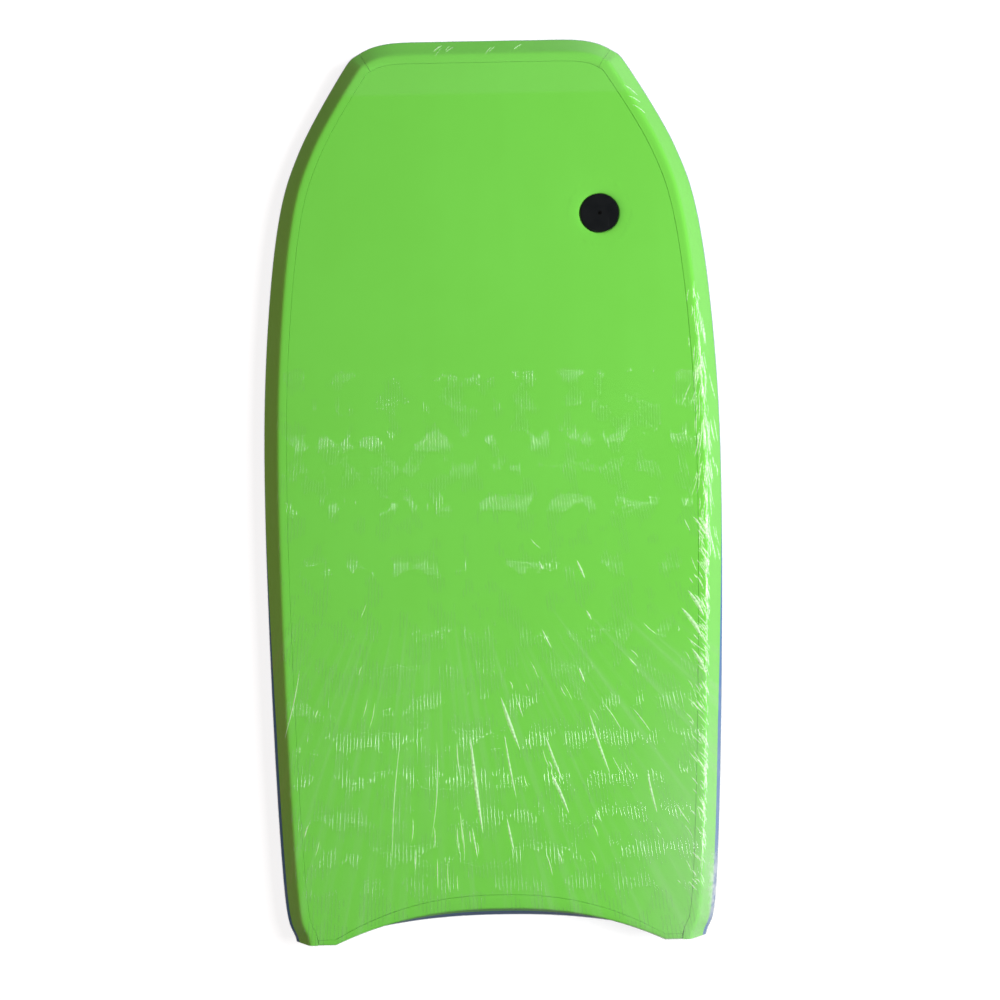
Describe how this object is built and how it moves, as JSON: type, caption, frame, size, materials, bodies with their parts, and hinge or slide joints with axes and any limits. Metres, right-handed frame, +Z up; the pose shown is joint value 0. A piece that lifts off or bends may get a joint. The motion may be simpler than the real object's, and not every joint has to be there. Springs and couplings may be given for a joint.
{
  "type": "bodyboard",
  "caption": "Foam bodyboard with a crescent tail, bevelled rails, a slick bottom and a screw-in leash plug in the deck, wrapped in clear shrink film.",
  "frame": {"origin": "on the surface the board lies on, under the middle of its bounding box", "axes": "+Y from tail to nose, +X to the right with the deck up, +Z up through the deck"},
  "size_m": [0.4812, 0.9424, 0.053],
  "materials": {
    "white_beads": "matte",
    "green_foam": "satin",
    "blue_foam": "satin",
    "blue_slick": "gloss",
    "black_plastic": "satin",
    "seal_foam": "matte",
    "clear_film": "gloss"
  },
  "bodies": {
    "board": {"foam_core": "white_beads", "deck_skin": "green_foam", "slick_bottom": "blue_slick", "upper_rail_right": "green_foam", "upper_rail_left": "green_foam", "lower_rail_right": "blue_foam", "lower_rail_left": "blue_foam", "nose_strip_upper": "green_foam", "nose_strip_lower": "blue_foam", "tail_strip_upper": "green_foam", "tail_strip_lower": "blue_foam", "plug_base": "black_plastic", "base_seal": "seal_foam", "film_top": "clear_film", "film_bottom": "clear_film"},
    "rising_seal": {"deck_seal": "seal_foam"},
    "plug": {"plug_screw": "black_plastic"}
  },
  "joints": [
    {"name": "plug_rise", "type": "slide", "parent": "board", "child": "rising_seal", "axis": [0, 0, 1], "range_m": [0, 0.0175], "deforming": ["film_top"]},
    {"name": "plug_unscrew", "type": "hinge", "parent": "rising_seal", "child": "plug", "pos_m": [0.116, 0.285, 0.0524], "axis": [0, 0, 1], "range_deg": [0, 1260]}
  ],
  "couplings": [
    {"joint": "plug_rise", "follows": "plug_unscrew", "m_per_rad": 0.00079577}
  ]
}
